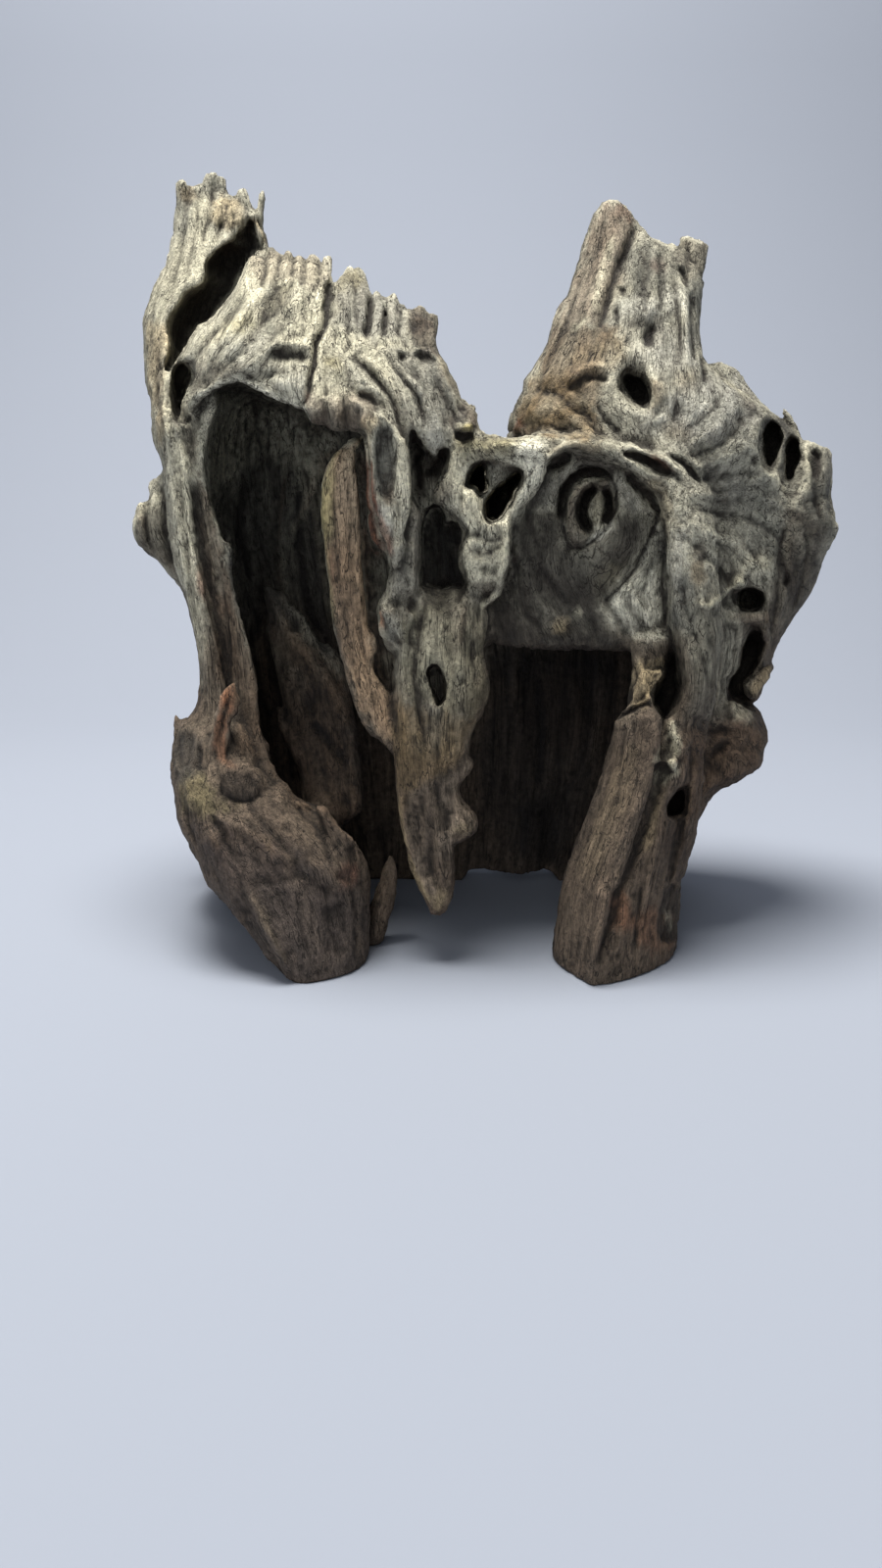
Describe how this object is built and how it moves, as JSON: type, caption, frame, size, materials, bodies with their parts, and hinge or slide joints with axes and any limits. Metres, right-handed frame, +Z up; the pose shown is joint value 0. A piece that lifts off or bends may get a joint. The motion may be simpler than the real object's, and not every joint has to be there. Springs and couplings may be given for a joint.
{
  "type": "driftwood",
  "caption": "Hollow weathered driftwood root stump with towers at each side, a hanging tusk, an arch and flat-cut feet.",
  "frame": {"origin": "centre of the footprint box, on the surface that it stands on", "axes": "+Z up, the open front faces -Y, +X to the right as seen from the front"},
  "size_m": [0.3523, 0.2014, 0.3679],
  "materials": {
    "weathered_wood": "dry, bare, weathered silver-grey above and brown below, rough"
  },
  "bodies": {
    "root": {"driftwood": "weathered_wood"}
  },
  "joints": []
}
